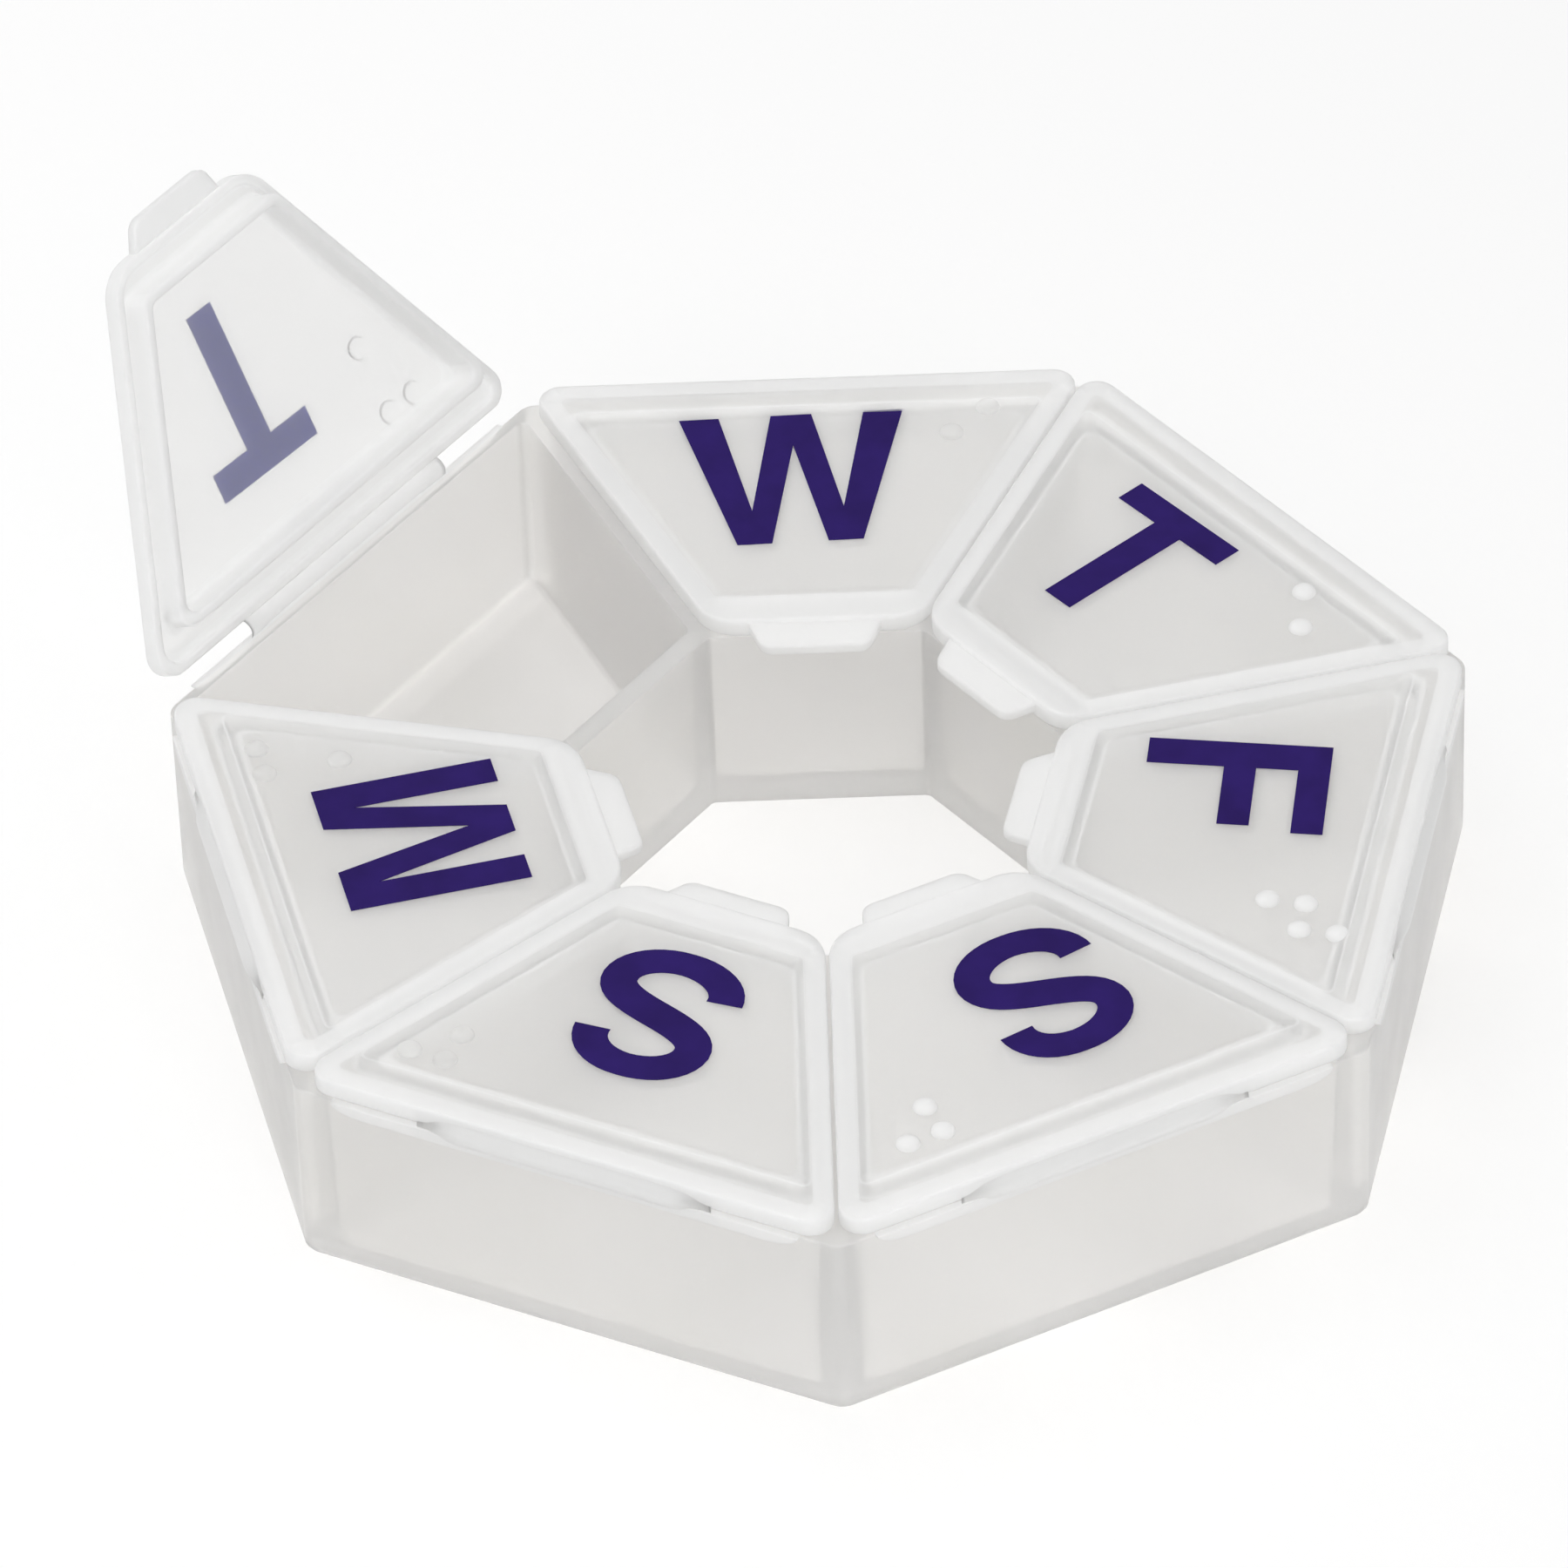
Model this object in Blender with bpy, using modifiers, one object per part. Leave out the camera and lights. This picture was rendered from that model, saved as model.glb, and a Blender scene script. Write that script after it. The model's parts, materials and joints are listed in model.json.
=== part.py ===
"""Weekly pill organizer: a seven-sided ring tray with one snap lid on a film hinge for each day.

Metres, +Z up. The ring stands on z = 0, and the middle of the whole object's box is over the origin.
"""

import math

import bmesh
import bpy
from mathutils import Matrix, Vector

MM = 0.001

# Days, anticlockwise seen from above, from the corner that points along -Y.
DAYS = ("saturday", "friday", "thursday", "wednesday", "tuesday", "monday", "sunday")
SIDES = len(DAYS)
OPEN_ANGLES_DEG = {"tuesday": 119.5}

# Ring
RING_RADIUS = 59.5 * MM  # centre to a corner of the closed lids' outline
HOLE_RADIUS = 22.1 * MM  # centre to a corner of the lids' inner outline
HEIGHT = 21.9 * MM  # base to the top of the closed lids
TOUCH_GAP = 0.3 * MM  # between pieces that meet
OVERRUN = 2.0 * MM  # how far every cutter runs past what it cuts

# Tray
WALL_SETBACK = 0.1 * MM  # the tray's outer wall stands this far inside the lids' edge
HOLE_SETBACK = 0.3 * MM  # the wall round the hole stands this far outside the lids' inner edge
OUTER_WALL = 1.1 * MM
INNER_WALL = 2.0 * MM
PARTITION = 2.0 * MM
FLOOR = 1.4 * MM
OUTER_DRAFT = 0.1 * MM  # the outside is this much smaller all round at the base
POCKET_DRAFT = 0.3 * MM  # each compartment is this much smaller all round at its floor
TRAY_CORNER = 1.8 * MM
HOLE_CORNER = 0.9 * MM
POCKET_CORNER = 0.8 * MM
FOOT_ROUND = 1.2 * MM
POCKET_FLOOR_ROUND = 0.5 * MM

# Lip on the tray that carries the film hinge
LIP_PROUD = 0.45 * MM
LIP_HEIGHT = 1.2 * MM
LIP_LENGTH_SHARE = 0.86  # of the tray's side
LIP_END_SHARE = 2.6  # length of each end's curve, in lip heights

# Lid
LID_SIDE_GAP = 0.15 * MM  # from a lid's side to the plane through the partition
LID_EDGE = 1.8 * MM
LID_PLATE = 1.1 * MM
SKIRT_WALL = 0.9 * MM
LID_OUTER_CORNER = 2.0 * MM
LID_INNER_CORNER = 4.2 * MM
LID_TOP_ROUND = 0.45 * MM
PLUG_CLEARANCE = 0.4 * MM
PLUG_HINGE_CLEARANCE = 2.3 * MM  # more room on the hinge side, where the plug swings in
PLUG_WALL = 1.0 * MM
PLUG_DEPTH = 2.0 * MM  # below the tray's rim
PLUG_CORNER = 1.6 * MM
PLUG_LEAD_IN = 0.35 * MM
WINDOW_RECESS = 0.3 * MM
WINDOW_FRAME_STEP = 0.6 * MM  # from the plug's inner face to the window, but none at the hinge
WINDOW_CORNER = 0.5 * MM

# Finger tab on each lid's inner edge
TAB_REACH = 2.7 * MM
TAB_BASE_SHARE = 0.64  # of the lid's inner edge
TAB_TIP_SHARE = 0.5
TAB_THICKNESS = 1.1 * MM
TAB_DROOP = 0.55 * MM
TAB_CORNER = 1.5 * MM
TAB_EDGE_ROUND = 0.3 * MM

# Film hinge
HINGE_PROUD = 0.7 * MM  # the axis lies this far outside the lids' edge
HINGE_DEPTH = 1.35 * MM  # and this far below the lids' top
FILM = 0.3 * MM
FILM_BULGE = 0.25 * MM  # the closed film's middle lies this far outside the axis
FILM_LENGTH_SHARE = 0.54  # of the lid's outer edge

# Steps in round stretches
CORNER_STEPS = 5
ROUND_STEPS = 3
FILM_STEPS = 12

SIDE_ANGLE = 2 * math.pi / SIDES
HALF_SIDE = SIDE_ANGLE / 2
LID_OUTER = RING_RADIUS * math.cos(HALF_SIDE)
LID_INNER = HOLE_RADIUS * math.cos(HALF_SIDE)
WALL_OUTER = LID_OUTER - WALL_SETBACK
HOLE_WALL = LID_INNER + HOLE_SETBACK
RIM_HEIGHT = HEIGHT - LID_EDGE - TOUCH_GAP
HINGE_OUT = LID_OUTER + HINGE_PROUD
HINGE_HEIGHT = HEIGHT - HINGE_DEPTH


def clear_scene():
    for old in list(bpy.data.objects):
        bpy.data.objects.remove(old)


def new_collection(name):
    collection = bpy.data.collections.new(name)
    bpy.context.scene.collection.children.link(collection)
    return collection


def plastic(name, colour, roughness, clearness):
    """A translucent moulded plastic."""
    material = bpy.data.materials.new(name)
    material.use_nodes = True
    shader = material.node_tree.nodes["Principled BSDF"]
    shader.inputs["Base Color"].default_value = (*colour, 1)
    shader.inputs["Roughness"].default_value = roughness
    shader.inputs["Metallic"].default_value = 0
    shader.inputs["Transmission Weight"].default_value = clearness
    return material


def rounded(corners, radii, steps=CORNER_STEPS):
    """The outline through these corners, in order, with each corner an arc of its own radius."""
    points = []
    for index, corner in enumerate(corners):
        corner = Vector(corner)
        back = (Vector(corners[index - 1]) - corner).normalized()
        ahead = (Vector(corners[(index + 1) % len(corners)]) - corner).normalized()
        half_angle = back.angle(ahead) / 2
        bisector = (back + ahead).normalized()
        centre = corner + bisector * radii[index] / math.sin(half_angle)
        start = corner + back * radii[index] / math.tan(half_angle) - centre
        end = corner + ahead * radii[index] / math.tan(half_angle) - centre
        sweep = start.angle_signed(end)
        for step in range(steps + 1):
            arm = start.copy()
            arm.rotate(Matrix.Rotation(-sweep * step / steps, 2))
            points.append(tuple(centre + arm))
    return points


def heptagon(apothem, corner):
    """A ring outline with one corner on -Y. Each side's middle is at this distance from the centre."""
    radius = apothem / math.cos(HALF_SIDE)
    angles = [SIDE_ANGLE * k - math.pi / 2 for k in range(SIDES)]
    corners = [(radius * math.cos(a), radius * math.sin(a)) for a in angles]
    return rounded(corners, [corner] * SIDES)


def wedge(outer, inner, gap, outer_corner, inner_corner):
    """One side's share of the ring, with the centre at (0, 0) and its outer edge towards -Y.

    outer and inner are distances from the centre, and gap is from each sloped side to the plane
    through the partition.
    """
    outer_half = outer * math.tan(HALF_SIDE) - gap / math.cos(HALF_SIDE)
    inner_half = inner * math.tan(HALF_SIDE) - gap / math.cos(HALF_SIDE)
    corners = [(-outer_half, -outer), (outer_half, -outer), (inner_half, -inner), (-inner_half, -inner)]
    return rounded(corners, [outer_corner, outer_corner, inner_corner, inner_corner])


def bevel(bm, edges, size):
    bmesh.ops.bevel(bm, geom=edges, offset=size, segments=ROUND_STEPS, profile=0.5, affect="EDGES")


def prism(name, collection, low, low_z, high, high_z, low_round=0, high_round=0):
    """A solid between two outlines with as many points each. Its end edges can be rounded."""
    bm = bmesh.new()
    rims = []
    for outline, z in ((low, low_z), (high, high_z)):
        face = bm.faces.new([bm.verts.new((x, y, z)) for x, y in outline])
        rims.append(list(face.edges))
    bmesh.ops.bridge_loops(bm, edges=rims[0] + rims[1])
    bmesh.ops.recalc_face_normals(bm, faces=bm.faces)
    for rim, size in zip(rims, (low_round, high_round)):
        if size:
            bevel(bm, rim, size)
    mesh = bpy.data.meshes.new(name)
    bm.to_mesh(mesh)
    bm.free()
    piece = bpy.data.objects.new(name, mesh)
    collection.objects.link(piece)
    return piece


def helper(piece):
    piece.hide_render = True
    piece.display_type = "WIRE"
    return piece


def shape_with(piece, other, operation):
    """Cuts the other piece out of this one, or joins it on."""
    modifier = piece.modifiers.new(other.name, "BOOLEAN")
    modifier.operation = operation
    modifier.solver = "EXACT"
    modifier.object = helper(other)


def finished_mesh(piece, name):
    """The piece's mesh with its modifiers applied, smooth on its round stretches."""
    bpy.context.view_layer.update()
    evaluated = piece.evaluated_get(bpy.context.evaluated_depsgraph_get())
    mesh = bpy.data.meshes.new_from_object(evaluated)
    mesh.name = name
    mesh.shade_smooth()
    mesh.set_sharp_from_angle(angle=math.radians(35))
    return mesh


def side_turn(index):
    """The turn about Z that takes a wedge's -Y to the middle of this side."""
    return SIDE_ANGLE * (index + 0.5)


def make_tray(parts, cutters, material):
    tray = prism(
        "tray",
        parts,
        heptagon(WALL_OUTER - OUTER_DRAFT, TRAY_CORNER),
        0,
        heptagon(WALL_OUTER, TRAY_CORNER),
        RIM_HEIGHT,
        low_round=FOOT_ROUND,
    )
    hole_low = heptagon(HOLE_WALL + OUTER_DRAFT, HOLE_CORNER)
    hole_high = heptagon(HOLE_WALL, HOLE_CORNER)
    hole = prism("hole_cutter", cutters, hole_low, -OVERRUN, hole_high, RIM_HEIGHT + OVERRUN)
    hole.parent = tray
    shape_with(tray, hole, "DIFFERENCE")
    for index, day in enumerate(DAYS):
        pocket = make_pocket_cutter(cutters, day)
        lip = make_lip(cutters, day)
        for piece in (pocket, lip):
            piece.rotation_euler.z = side_turn(index)
            piece.parent = tray
        shape_with(tray, pocket, "DIFFERENCE")
        shape_with(tray, lip, "UNION")
    tray.data.materials.append(material)
    return tray


def make_pocket_cutter(cutters, day):
    """The inside of one compartment, a little narrower at its rounded floor."""
    outer = WALL_OUTER - OUTER_WALL
    inner = HOLE_WALL + INNER_WALL
    side = PARTITION / 2
    low = wedge(
        outer - POCKET_DRAFT, inner + POCKET_DRAFT, side + POCKET_DRAFT, POCKET_CORNER, POCKET_CORNER
    )
    high = wedge(outer, inner, side, POCKET_CORNER, POCKET_CORNER)
    return prism(
        f"pocket_cutter_{day}", cutters, low, FLOOR, high, RIM_HEIGHT + OVERRUN, low_round=POCKET_FLOOR_ROUND
    )


def make_lip(cutters, day):
    """A ledge under one lid's edge, flush with the tray's rim. Its ends curve up to the rim."""
    half = WALL_OUTER * math.tan(HALF_SIDE) * LIP_LENGTH_SHARE
    end = LIP_HEIGHT * LIP_END_SHARE
    outline = [(half, 0), (-half, 0)]
    for step in range(1, CORNER_STEPS + 1):
        turn = math.pi / 2 * step / CORNER_STEPS
        outline.append((-half + end * (1 - math.cos(turn)), -LIP_HEIGHT * math.sin(turn)))
    outline += [(-x, z) for x, z in reversed(outline[2:])]
    embed = OUTER_WALL / 2
    lip = prism(f"lip_{day}", cutters, outline, 0, outline, LIP_PROUD + embed)
    stand_up = Matrix.Rotation(math.pi / 2, 4, "X")
    place = Matrix.Translation((0, -WALL_OUTER + embed, RIM_HEIGHT))
    lip.data.transform(place @ stand_up)
    return lip


def make_lid_mesh(cutters):
    """One lid closed, seen from its hinge: X along the axis, Y inwards over the compartment."""
    outline = wedge(LID_OUTER, LID_INNER, LID_SIDE_GAP, LID_OUTER_CORNER, LID_INNER_CORNER)
    body = prism(
        "lid_body", cutters, outline, HEIGHT - LID_EDGE, outline, HEIGHT, high_round=LID_TOP_ROUND
    )
    shape_with(body, make_lid_hollow(cutters), "DIFFERENCE")
    shape_with(body, make_plug(cutters), "UNION")
    shape_with(body, make_window_cutter(cutters), "DIFFERENCE")
    shape_with(body, make_tab(cutters), "UNION")
    mesh = finished_mesh(helper(body), "lid")
    mesh.transform(Matrix.Translation((0, HINGE_OUT, -HINGE_HEIGHT)))
    return mesh


def make_lid_hollow(cutters):
    """The shallow hollow inside the lid's skirt."""
    hollow = wedge(
        LID_OUTER - SKIRT_WALL,
        LID_INNER + SKIRT_WALL,
        LID_SIDE_GAP + SKIRT_WALL,
        LID_OUTER_CORNER - SKIRT_WALL / 2,
        LID_INNER_CORNER - SKIRT_WALL,
    )
    return prism("lid_hollow", cutters, hollow, HEIGHT - LID_EDGE - OVERRUN, hollow, HEIGHT - LID_PLATE)


def plug_outline(hinge_inset, inset, corner):
    """An outline this far inside the plug's outer face at the hinge and along its other sides."""
    return wedge(
        WALL_OUTER - OUTER_WALL - PLUG_HINGE_CLEARANCE - hinge_inset,
        HOLE_WALL + INNER_WALL + PLUG_CLEARANCE + inset,
        PARTITION / 2 + PLUG_CLEARANCE + inset,
        corner,
        corner,
    )


def make_plug(cutters):
    """The thin wall under the lid that drops into the compartment's mouth."""
    low_z = RIM_HEIGHT - PLUG_DEPTH
    high_z = HEIGHT - LID_PLATE / 2
    outside = plug_outline(0, 0, PLUG_CORNER)
    plug = prism("plug", cutters, outside, low_z, outside, high_z, low_round=PLUG_LEAD_IN)
    inside = plug_outline(PLUG_WALL, PLUG_WALL, PLUG_CORNER - PLUG_WALL / 2)
    core_top = HEIGHT - LID_PLATE
    core = prism("plug_core", cutters, inside, low_z - OVERRUN, inside, core_top)
    shape_with(plug, core, "DIFFERENCE")
    return plug


def make_window_cutter(cutters):
    """The sunk window, a step inside the plug."""
    pane = plug_outline(PLUG_WALL, PLUG_WALL + WINDOW_FRAME_STEP, WINDOW_CORNER)
    return prism("window_cutter", cutters, pane, HEIGHT - WINDOW_RECESS, pane, HEIGHT + OVERRUN)


def make_tab(cutters):
    """The finger tab, which droops a little towards the middle of the ring."""
    half_edge = LID_INNER * math.tan(HALF_SIDE)
    root = -LID_INNER - SKIRT_WALL / 2
    tip = -LID_INNER + TAB_REACH
    base_half = half_edge * TAB_BASE_SHARE
    tip_half = half_edge * TAB_TIP_SHARE
    corners = [(-base_half, root), (base_half, root), (tip_half, tip), (-tip_half, tip)]
    root_corner = TAB_EDGE_ROUND
    outline = rounded(corners, [root_corner, root_corner, TAB_CORNER, TAB_CORNER])
    top = HEIGHT - LID_TOP_ROUND / 2
    tab = prism(
        "tab",
        cutters,
        outline,
        top - TAB_THICKNESS,
        outline,
        top,
        low_round=TAB_EDGE_ROUND,
        high_round=TAB_EDGE_ROUND,
    )
    slope = TAB_DROOP / (tip - root)
    for vertex in tab.data.vertices:
        vertex.co.z -= slope * (vertex.co.y - root)
    return tab


def eased(share):
    """The smooth step of the fifth degree: the share of a turn, slow at its start and end."""
    return share**3 * (10 - 15 * share + 6 * share**2)


def film_line(opened):
    """(inwards, up) points along the film's middle, from the tray's lip to the lid's edge.

    They are measured from the hinge axis. Closed, the film bulges outwards past the axis as two
    quarters of ellipses, one down to the lip and one up to the lid. As the lid opens, each point
    turns with it, the more the nearer it is to the lid.
    """
    lip_reach = FILM_BULGE + HINGE_PROUD + WALL_SETBACK - LIP_PROUD - TOUCH_GAP
    lip_drop = HINGE_HEIGHT - RIM_HEIGHT + LIP_HEIGHT / 2
    lid_reach = FILM_BULGE + HINGE_PROUD - TOUCH_GAP
    lid_rise = HINGE_DEPTH / 2
    points = []
    for step in range(FILM_STEPS + 1):
        share = step / FILM_STEPS
        angle = math.pi * (share - 0.5)
        reach, rise = (lip_reach, lip_drop) if angle < 0 else (lid_reach, lid_rise)
        point = Vector((reach * (1 - math.cos(angle)) - FILM_BULGE, rise * math.sin(angle)))
        point.rotate(Matrix.Rotation(opened * eased(share), 2))
        points.append(tuple(point))
    return points


def make_film(parts, day, opened, material):
    """A strip of sheet between the tray's lip and the lid, with its origin on the hinge axis."""
    half = LID_OUTER * math.tan(HALF_SIDE) * FILM_LENGTH_SHARE
    bm = bmesh.new()
    rows = []
    for inwards, up in film_line(opened):
        rows.append([bm.verts.new((x, inwards, up)) for x in (-half, half)])
    for (a, b), (c, d) in zip(rows, rows[1:]):
        bm.faces.new((a, b, d, c))
    mesh = bpy.data.meshes.new(f"film_{day}")
    bm.to_mesh(mesh)
    bm.free()
    mesh.shade_smooth()
    film = bpy.data.objects.new(f"hinge_{day}", mesh)
    parts.objects.link(film)
    sheet = film.modifiers.new("thickness", "SOLIDIFY")
    sheet.thickness = FILM
    sheet.offset = 0
    film.data.materials.append(material)
    return film


def make_hinge_empty(parts, index, day, ring):
    """An empty on the hinge axis: X along the axis, Y inwards, Z up."""
    hinge = bpy.data.objects.new(f"axis_{day}", None)
    parts.objects.link(hinge)
    hinge.parent = ring
    turn = side_turn(index)
    hinge.rotation_euler.z = turn
    hinge.location = Matrix.Rotation(turn, 3, "Z") @ Vector((0, -HINGE_OUT, HINGE_HEIGHT))
    return hinge


def centre_over_origin(ring, pieces):
    """Moves the ring so that the middle of the pieces' common box is over the origin."""
    bpy.context.view_layer.update()
    graph = bpy.context.evaluated_depsgraph_get()
    points = []
    for piece in pieces:
        evaluated = piece.evaluated_get(graph)
        points += [evaluated.matrix_world @ vertex.co for vertex in evaluated.data.vertices]
    for axis in (0, 1):
        values = [point[axis] for point in points]
        ring.location[axis] = -(min(values) + max(values)) / 2
    bpy.context.view_layer.update()


def main():
    clear_scene()
    parts = new_collection("weekly_pill_organizer")
    cutters = new_collection("cutters")
    tray_plastic = plastic("tray_frosted", (0.86, 0.85, 0.84), 0.38, 0.75)
    lid_plastic = plastic("lid_frosted", (0.91, 0.91, 0.91), 0.32, 0.85)
    film_plastic = plastic("hinge_film", (0.94, 0.94, 0.94), 0.3, 0.7)

    ring = bpy.data.objects.new("ring_centre", None)
    parts.objects.link(ring)
    tray = make_tray(parts, cutters, tray_plastic)
    tray.parent = ring

    lid_mesh = make_lid_mesh(cutters)
    lid_mesh.materials.append(lid_plastic)
    pieces = [tray]
    for index, day in enumerate(DAYS):
        opened = math.radians(OPEN_ANGLES_DEG.get(day, 0))
        hinge = make_hinge_empty(parts, index, day, ring)
        lid = bpy.data.objects.new(f"lid_{day}", lid_mesh)
        parts.objects.link(lid)
        lid.rotation_euler.x = opened
        film = make_film(parts, day, opened, film_plastic)
        for piece in (lid, film):
            piece.parent = hinge
            pieces.append(piece)
    centre_over_origin(ring, pieces)


main()
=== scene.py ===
"""Looks of the weekly pill organizer: a frosted tray, lids with clear windows, bent film hinges and ink.

The frame gives the ring's centre, the hinge axes and the height. The other sizes are in millimetres.
"""

import json
import math

import bmesh
import bpy
from mathutils import Matrix, Vector
from mathutils.geometry import interpolate_bezier


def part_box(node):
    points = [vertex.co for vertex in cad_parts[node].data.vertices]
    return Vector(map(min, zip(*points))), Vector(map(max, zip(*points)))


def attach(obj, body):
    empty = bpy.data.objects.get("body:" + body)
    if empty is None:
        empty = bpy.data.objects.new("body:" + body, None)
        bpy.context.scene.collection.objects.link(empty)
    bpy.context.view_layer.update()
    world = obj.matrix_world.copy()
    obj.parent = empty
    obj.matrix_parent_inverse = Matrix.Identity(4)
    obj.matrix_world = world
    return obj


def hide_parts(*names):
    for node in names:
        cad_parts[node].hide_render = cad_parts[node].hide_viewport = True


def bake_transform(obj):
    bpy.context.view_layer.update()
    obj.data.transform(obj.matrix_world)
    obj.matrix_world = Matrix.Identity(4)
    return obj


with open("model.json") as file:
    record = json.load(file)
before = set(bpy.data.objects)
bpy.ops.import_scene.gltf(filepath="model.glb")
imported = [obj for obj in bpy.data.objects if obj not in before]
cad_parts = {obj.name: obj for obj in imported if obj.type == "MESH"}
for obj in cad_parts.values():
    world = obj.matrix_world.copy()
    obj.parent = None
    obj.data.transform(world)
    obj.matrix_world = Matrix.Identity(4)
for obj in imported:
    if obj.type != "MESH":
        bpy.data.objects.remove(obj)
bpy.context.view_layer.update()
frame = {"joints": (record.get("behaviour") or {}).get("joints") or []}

MM = 0.001

# What the frame gives
HINGES = {joint["child"].removeprefix("lid_"): joint for joint in frame["joints"]}
DAYS = list(HINGES)
SIDES = len(DAYS)
CENTRE = sum((Vector(joint["pos_m"]) for joint in HINGES.values()), Vector()) / SIDES
HINGE_HEIGHT = CENTRE.z
CENTRE.z = 0
HINGE_OUT = (Vector(HINGES["sunday"]["pos_m"]).xy - CENTRE.xy).length
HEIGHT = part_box("lid_sunday")[1].z
HALF_SIDE = math.pi / SIDES

# Ring and tray
HINGE_PROUD = 0.7 * MM  # how far the hinge axes lie outside the lids' edges
TOUCH_GAP = 0.3 * MM  # between a closed lid's skirt and the tray's rim
OVERRUN = 2.0 * MM  # how far a cutter goes on past what it cuts
WALL_SETBACK = 0.1 * MM  # from the lids' edges in to the tray's wall
HOLE_SETBACK = 0.3 * MM  # from the lids' inner edges out to the wall round the open middle
OUTER_WALL = 1.1 * MM
INNER_WALL = 2.0 * MM
PARTITION = 2.0 * MM
FLOOR = 1.4 * MM
OUTER_DRAFT = 0.1 * MM  # how far the tray's outside leans over its height
POCKET_DRAFT = 0.3 * MM
TRAY_CORNER = 1.8 * MM
HOLE_CORNER = 0.9 * MM
POCKET_CORNER = 0.8 * MM
FOOT_ROUND = 1.2 * MM
POCKET_FLOOR_ROUND = 0.5 * MM
RIM_ROUND = 0.25 * MM

# Lip that carries each film hinge
LIP_PROUD = 0.45 * MM
LIP_HEIGHT = 1.2 * MM
LIP_LENGTH_SHARE = 0.86  # of the tray's side
LIP_END_SHARE = 2.6  # length of each curved end, as a share of the lip's height
LIP_ROUND = 0.2 * MM

# Lid
HOLE_RADIUS = 22.1 * MM
LID_SIDE_GAP = 0.15 * MM
LID_EDGE = 1.8 * MM
LID_PLATE = 1.1 * MM
SKIRT_WALL = 0.9 * MM
LID_OUTER_CORNER = 2.0 * MM
LID_INNER_CORNER = 4.2 * MM
LID_TOP_ROUND = 0.45 * MM
EDGE_ROUND = 0.25 * MM
PLUG_CLEARANCE = 0.4 * MM
PLUG_HINGE_CLEARANCE = 2.3 * MM
PLUG_WALL = 1.0 * MM
PLUG_DEPTH = 2.0 * MM
PLUG_CORNER = 1.6 * MM
PLUG_LEAD_IN = 0.4 * MM
UNDER_ROUND = 0.7 * MM  # fillets under the lid, where the skirt and the plug leave the plate
WINDOW_RECESS = 0.3 * MM
WINDOW_FRAME_STEP = 0.6 * MM
WINDOW_CORNER = 0.6 * MM
WINDOW_HINGE_INSET = 1.5 * MM  # from the plug's face at the hinge to the window
WINDOW_SLOPE = 0.8 * MM  # how far the sides of the window's recess slope
WINDOW_ROUND = 0.35 * MM
RIB_WIDTH = 1.1 * MM  # frosted rib over the plug's wall, beside the window
RIB_SPREAD_SHARE = 1.2  # how far the rib's ends lie outside the pane's sides, as a share of the slope
STRIP_WIDTH = 2.0 * MM  # clear strip between the rib and the frosted hinge edge
STRIP_SPREAD_SHARE = 1.3  # the same for the strip's ends

# Finger tab
TAB_REACH = 2.7 * MM
TAB_BASE_SHARE = 0.64  # widths as shares of the lid's inner edge
TAB_TIP_SHARE = 0.5
TAB_THICKNESS = 1.1 * MM
TAB_DROOP = 0.55 * MM
TAB_CORNER = 1.5 * MM
TAB_EDGE_ROUND = 0.3 * MM

# Film hinge
FILM = 0.3 * MM
FILM_LENGTH_SHARE = 0.54  # of the lid's outer edge
FILM_FLARE = 1.2 * MM  # how much further each end reaches where the film joins the lip and the lid
FILM_TAPER = 5.0 * MM  # length of each end, over which the film thins out
FILM_SINK = 0.05 * MM  # how deep its outside starts in the lip's face and ends in the lid's
FILM_END_SHARE = 0.1  # how far its ends reach out, as a share of the middle

# Raised dots in cells of two columns of three, numbered down the left column first
DOT_RADIUS = 1.1 * MM
DOT_RISE = 0.55 * MM
DOT_SINK = 0.2 * MM  # how deep its foot lies in the window
DOT_PITCH = 3.4 * MM
DOT_ROWS = 3
# Days whose dots are cream-white. The others' are as clear as the window.
WHITE_DOT_DAYS = ("thursday", "friday", "saturday")
# Each day's dots, and where its dot 1 would lie, as (numbers, along, outwards)
DOTS = {
    "sunday": ((1, 2, 4), -14.4 * MM, 46.9 * MM),
    "monday": ((1, 3, 4), -12.9 * MM, 47.5 * MM),
    "tuesday": ((1, 3, 4), -12.3 * MM, 47.7 * MM),
    "wednesday": ((2, 4), -13.0 * MM, 48.8 * MM),
    "thursday": ((2, 6), -10.5 * MM, 51.1 * MM),
    "friday": ((2, 3, 4, 5), -10.1 * MM, 48.7 * MM),
    "saturday": ((1, 2, 4), -12.0 * MM, 46.6 * MM),
}

# Initials
LETTER_HEIGHT = 16.3 * MM
STROKE = 3.25 * MM
THIN_STROKE = 2.85 * MM
INK = 0.04 * MM  # how far the ink stands out of the window, and how deep it lies in it
# Each day's initial, and where its middle lies, as (along, outwards, turn in degrees)
INITIALS = {
    "sunday": ("s", 0.0 * MM, 34.6 * MM, 0),
    "monday": ("m", -1.3 * MM, 35.95 * MM, 0),
    "tuesday": ("t", 2.2 * MM, 36.35 * MM, 2),
    "wednesday": ("w", 1.3 * MM, 39.75 * MM, 1.6),
    "thursday": ("t", 3.8 * MM, 38.75 * MM, 2),
    "friday": ("f", 4.5 * MM, 36.5 * MM, 5),
    "saturday": ("s", 3.7 * MM, 35.25 * MM, 0),
}

# Steps in round stretches
CORNER_STEPS = 10
ROUND_STEPS = 4
FILM_STEPS = 28
DOT_STEPS = 2 * ROUND_STEPS
DOT_SIDES = 3 * CORNER_STEPS
ROUND_LIMIT_SHARE = 0.45  # the most that a round takes of the way to the next bend
FLAT_SHARE = 3  # width of the flat part beside a round or a wall, as a share of that

# Shading
SHARP_ANGLE = math.radians(40)
LARGE_FACE_WEIGHT = 50
INK_BACK_NORMAL = -0.5  # a face of the ink that looks further down than this is its back

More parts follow.
